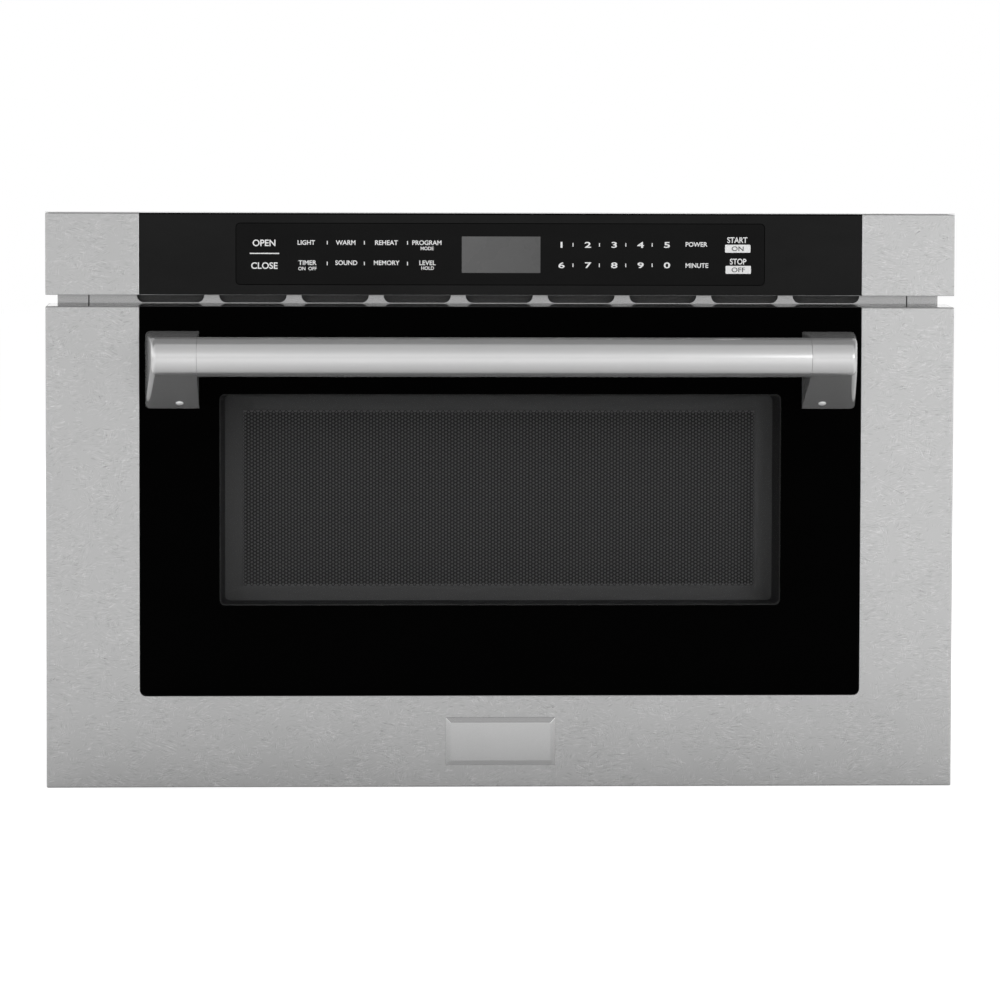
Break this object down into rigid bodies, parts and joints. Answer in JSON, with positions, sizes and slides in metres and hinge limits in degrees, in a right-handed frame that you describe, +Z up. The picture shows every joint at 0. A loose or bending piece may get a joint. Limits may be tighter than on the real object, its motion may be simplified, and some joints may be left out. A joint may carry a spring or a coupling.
{
  "type": "microwave drawer",
  "caption": "Built-in microwave oven that opens as a drawer: steel front, black glass, tubular handle, telescopic slides with rack drive, flanged body.",
  "frame": {"origin": "centre of the four flange screw holes, on the flange's back face that meets the cabinet, at mid height of the front", "axes": "+X to the right seen from the front, +Y into the cabinet (the drawer opens towards -Y), +Z up"},
  "size_m": [0.6064, 0.654, 0.3842],
  "materials": {
    "front_steel": "fine short random scratches, satin",
    "badge_steel": "satin plate with bevelled edge",
    "handle_steel": "fine lengthwise brushing",
    "bright_screw": "bright zinc",
    "black_glass": "black printed glass, gloss",
    "clear_glass": "clear, polished",
    "floor_ceramic": "smooth glass ceramic",
    "galvanised_sheet": "galvanised sheet, dull",
    "cavity_enamel": "baked grey enamel, satin",
    "dark_enamel": "black baked enamel",
    "black_plastic": "moulded, fine grain",
    "white_plastic": "moulded acetal",
    "mica_sheet": "pressed mica sheet",
    "aluminium_cast": "plain mill finish",
    "circuit_board": "solder mask",
    "display_grey": "unlit display"
  },
  "bodies": {
    "chassis": {"base_pan": "galvanised_sheet", "left_side_panel": "galvanised_sheet", "right_side_panel": "galvanised_sheet", "top_cover": "galvanised_sheet", "rear_panel": "galvanised_sheet", "panel_screws": "bright_screw", "cord_bushing": "black_plastic", "mounting_flange": "galvanised_sheet", "cavity_face_plate": "galvanised_sheet", "oven_cavity": "cavity_enamel", "antenna_cover": "mica_sheet", "waveguide": "galvanised_sheet", "antenna_motor": "black_plastic", "magnetron": "aluminium_cast", "high_voltage_transformer": "galvanised_sheet", "high_voltage_capacitor": "aluminium_cast", "power_board": "circuit_board", "fan_housing": "black_plastic", "fan_motor": "black_plastic", "exhaust_duct": "galvanised_sheet", "lamp_socket": "galvanised_sheet", "lamp_bulb": "clear_glass", "interlock_switches": "black_plastic", "control_housing": "front_steel", "left_end_cap": "front_steel", "right_end_cap": "front_steel", "control_glass": "black_glass", "touch_board": "circuit_board", "display_module": "display_grey", "control_board": "circuit_board", "slide_outer_left": "galvanised_sheet", "slide_outer_right": "galvanised_sheet", "drive_gearmotor": "black_plastic", "gearmotor_bracket": "galvanised_sheet"},
    "drawer": {"door_skin": "front_steel", "door_glass": "black_glass", "door_frame": "dark_enamel", "choke_cover": "black_plastic", "door_screen": "dark_enamel", "inner_window": "clear_glass", "badge_plate": "badge_steel", "handle_bar": "handle_steel", "handle_bracket_left": "handle_steel", "handle_bracket_right": "handle_steel", "bracket_set_screws": "bright_screw", "handle_screws": "bright_screw", "drawer_tub": "cavity_enamel", "drawer_floor": "floor_ceramic", "slide_inner_left": "galvanised_sheet", "slide_inner_right": "galvanised_sheet", "slide_bracket_left": "galvanised_sheet", "slide_bracket_right": "galvanised_sheet", "drive_rack": "white_plastic", "latch_hooks": "galvanised_sheet"},
    "slide_middle_left": {"slide_middle_left": "galvanised_sheet"},
    "slide_middle_right": {"slide_middle_right": "galvanised_sheet"},
    "pinion": {"drive_pinion": "white_plastic"},
    "fan": {"fan_rotor": "white_plastic"},
    "antenna": {"stirrer_antenna": "aluminium_cast"},
    "plungers": {"interlock_plungers": "white_plastic"}
  },
  "joints": [
    {"name": "drawer_slide", "type": "slide", "parent": "chassis", "child": "drawer", "axis": [0, -1, 0], "range_m": [0, 0.38]},
    {"name": "slide_middle_left_slide", "type": "slide", "parent": "chassis", "child": "slide_middle_left", "axis": [0, -1, 0], "range_m": [0, 0.19]},
    {"name": "slide_middle_right_slide", "type": "slide", "parent": "chassis", "child": "slide_middle_right", "axis": [0, -1, 0], "range_m": [0, 0.19]},
    {"name": "pinion_spin", "type": "hinge", "parent": "chassis", "child": "pinion", "pos_m": [0.2578, 0.026, -0.1395], "axis": [1, 0, 0], "range_deg": [0, 1452]},
    {"name": "fan_spin", "type": "hinge", "parent": "chassis", "child": "fan", "pos_m": [0.165, 0.53, 0.06], "axis": [0, 1, 0], "continuous": true},
    {"name": "antenna_spin", "type": "hinge", "parent": "chassis", "child": "antenna", "pos_m": [0, 0.215, -0.12], "axis": [0, 0, 1], "continuous": true},
    {"name": "plunger_slide", "type": "slide", "parent": "chassis", "child": "plungers", "axis": [0, -1, 0], "range_m": [0, 0.002]}
  ],
  "couplings": [
    {"joint": "slide_middle_left_slide", "follows": "drawer_slide", "ratio": 0.5},
    {"joint": "slide_middle_right_slide", "follows": "drawer_slide", "ratio": 0.5},
    {"joint": "pinion_spin", "follows": "drawer_slide", "rad_per_m": 66.667},
    {"joint": "plunger_slide", "follows": "drawer_slide", "ratio": 0.00525}
  ]
}
